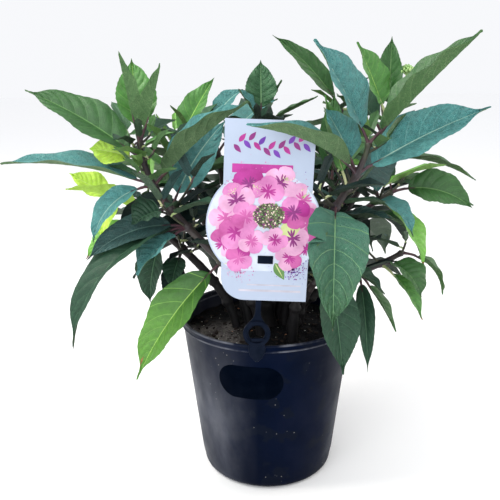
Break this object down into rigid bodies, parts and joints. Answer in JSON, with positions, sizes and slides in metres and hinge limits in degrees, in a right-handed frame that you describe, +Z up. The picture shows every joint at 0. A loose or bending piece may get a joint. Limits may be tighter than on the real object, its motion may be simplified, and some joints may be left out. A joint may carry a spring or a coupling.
{
  "type": "hydrangea shrub in a nursery pot",
  "caption": "Young leafy shrub with paired pointed leaves on arching canes, in a round tapered nursery pot with a tall card label hooked over its rim.",
  "frame": {"origin": "centre of the pot's flat underside", "axes": "+Z up, -Y towards the label, +X to the right of someone who faces the label"},
  "size_m": [0.5119, 0.451, 0.4978],
  "materials": {
    "pot_plastic": "satin black, moulded",
    "potting_mix": "loose bark and fibre",
    "label_card": "printed plastic card",
    "hook_plastic": "satin black, moulded",
    "bark": "young bark",
    "foliage": "leaf, satin"
  },
  "bodies": {
    "root": {"pot": "pot_plastic", "potting_mix": "potting_mix", "plant_label": "label_card", "label_hook": "hook_plastic", "crown_stump": "bark", "cane_left_front": "bark", "cane_right_front": "bark", "cane_left_rear": "bark", "cane_centre_left": "bark", "cane_centre": "bark", "cane_right_inner": "bark", "cane_right_top": "bark", "cane_right_rear": "bark", "cane_right_side": "bark", "cane_right_low": "bark", "cane_left_low": "bark", "cane_front_low": "bark", "cane_back_left": "bark", "cane_back_centre": "bark", "cane_back_right": "bark", "foliage_left_front": "foliage", "foliage_right_front": "foliage", "foliage_left_rear": "foliage", "foliage_centre_left": "foliage", "foliage_centre": "foliage", "foliage_right_inner": "foliage", "foliage_right_top": "foliage", "foliage_right_rear": "foliage", "foliage_right_side": "foliage", "foliage_right_low": "foliage", "foliage_left_low": "foliage", "foliage_front_low": "foliage", "foliage_back_left": "foliage", "foliage_back_centre": "foliage", "foliage_back_right": "foliage"}
  },
  "joints": []
}
